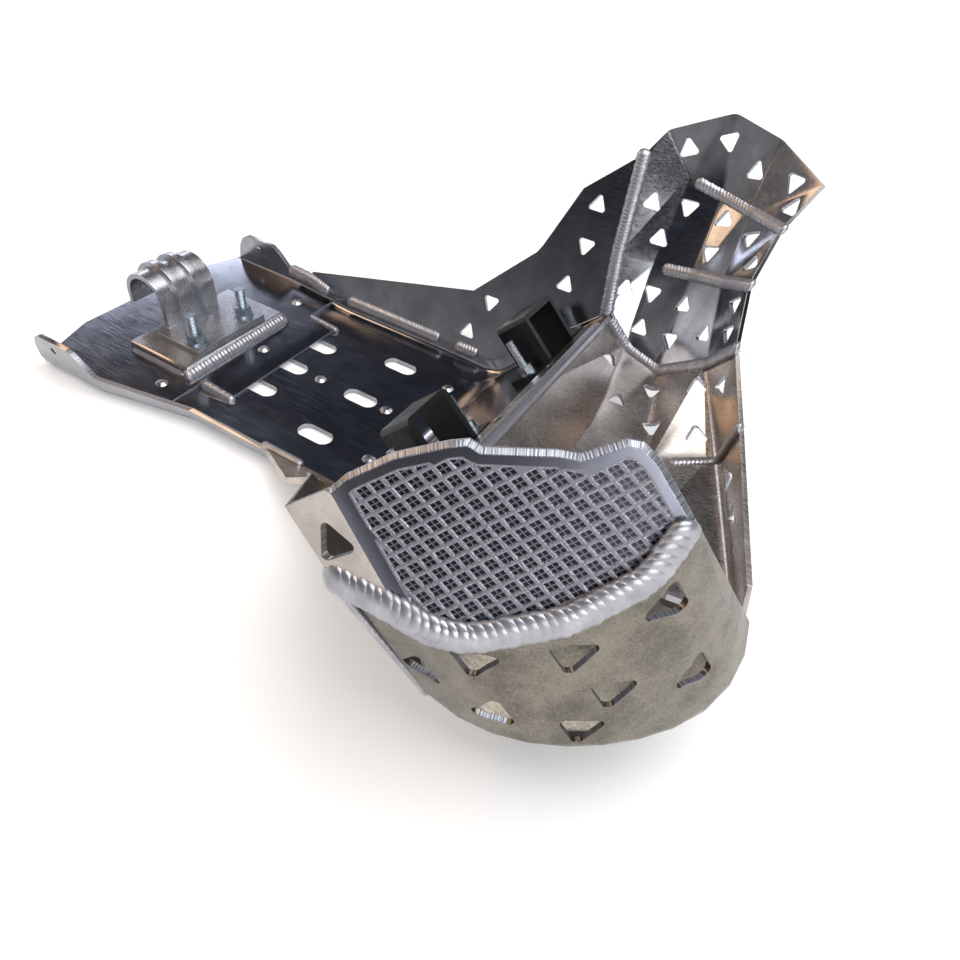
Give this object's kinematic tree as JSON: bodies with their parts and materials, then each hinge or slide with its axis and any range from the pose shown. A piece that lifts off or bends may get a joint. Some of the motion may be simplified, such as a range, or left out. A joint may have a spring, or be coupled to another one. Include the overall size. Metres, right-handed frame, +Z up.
{
  "type": "motorcycle skid plate",
  "caption": "Welded aluminium motorcycle skid plate: folded floor, tube saddle, frame clamps and a perforated guard that wraps the exhaust pipe.",
  "frame": {"origin": "middle of the flat floor's underside, 100 mm behind the fold to the front incline", "axes": "+Y towards the bike's rear, +X towards its left, +Z up"},
  "size_m": [0.4301, 0.5574, 0.2086],
  "materials": {
    "sheet": "raw mill finish",
    "weld": "bright rippled",
    "clamp": "black satin",
    "zinc": "zinc plated",
    "rivet": "bright"
  },
  "bodies": {
    "root": {"base_plate": "sheet", "rear_plate": "sheet", "rear_pad": "sheet", "rear_saddle": "sheet", "left_wing": "sheet", "left_guard_shell": "sheet", "centre_trough": "sheet", "right_guard_panel": "sheet", "right_guard_shell": "sheet", "right_return_panel": "sheet", "right_wing": "sheet", "cross_bar": "sheet", "pad_front_weld": "weld", "pad_side_welds": "weld", "tongue_welds": "weld", "left_wing_stitches": "weld", "ear_weld": "weld", "guard_foot_weld": "weld", "guard_dart_welds": "weld", "trough_left_weld": "weld", "trough_centre_weld": "weld", "trough_right_weld": "weld", "panel_weld": "weld", "bar_welds": "weld", "ridge_weld": "weld", "right_wing_stitches": "weld", "return_welds": "weld", "left_frame_clamp": "clamp", "right_frame_clamp": "clamp", "rear_bolts": "zinc", "rear_washers": "zinc", "rear_nuts": "zinc", "clamp_bolts": "zinc", "clamp_washers": "zinc", "clamp_nuts": "zinc", "floor_rivets": "rivet"}
  },
  "joints": []
}
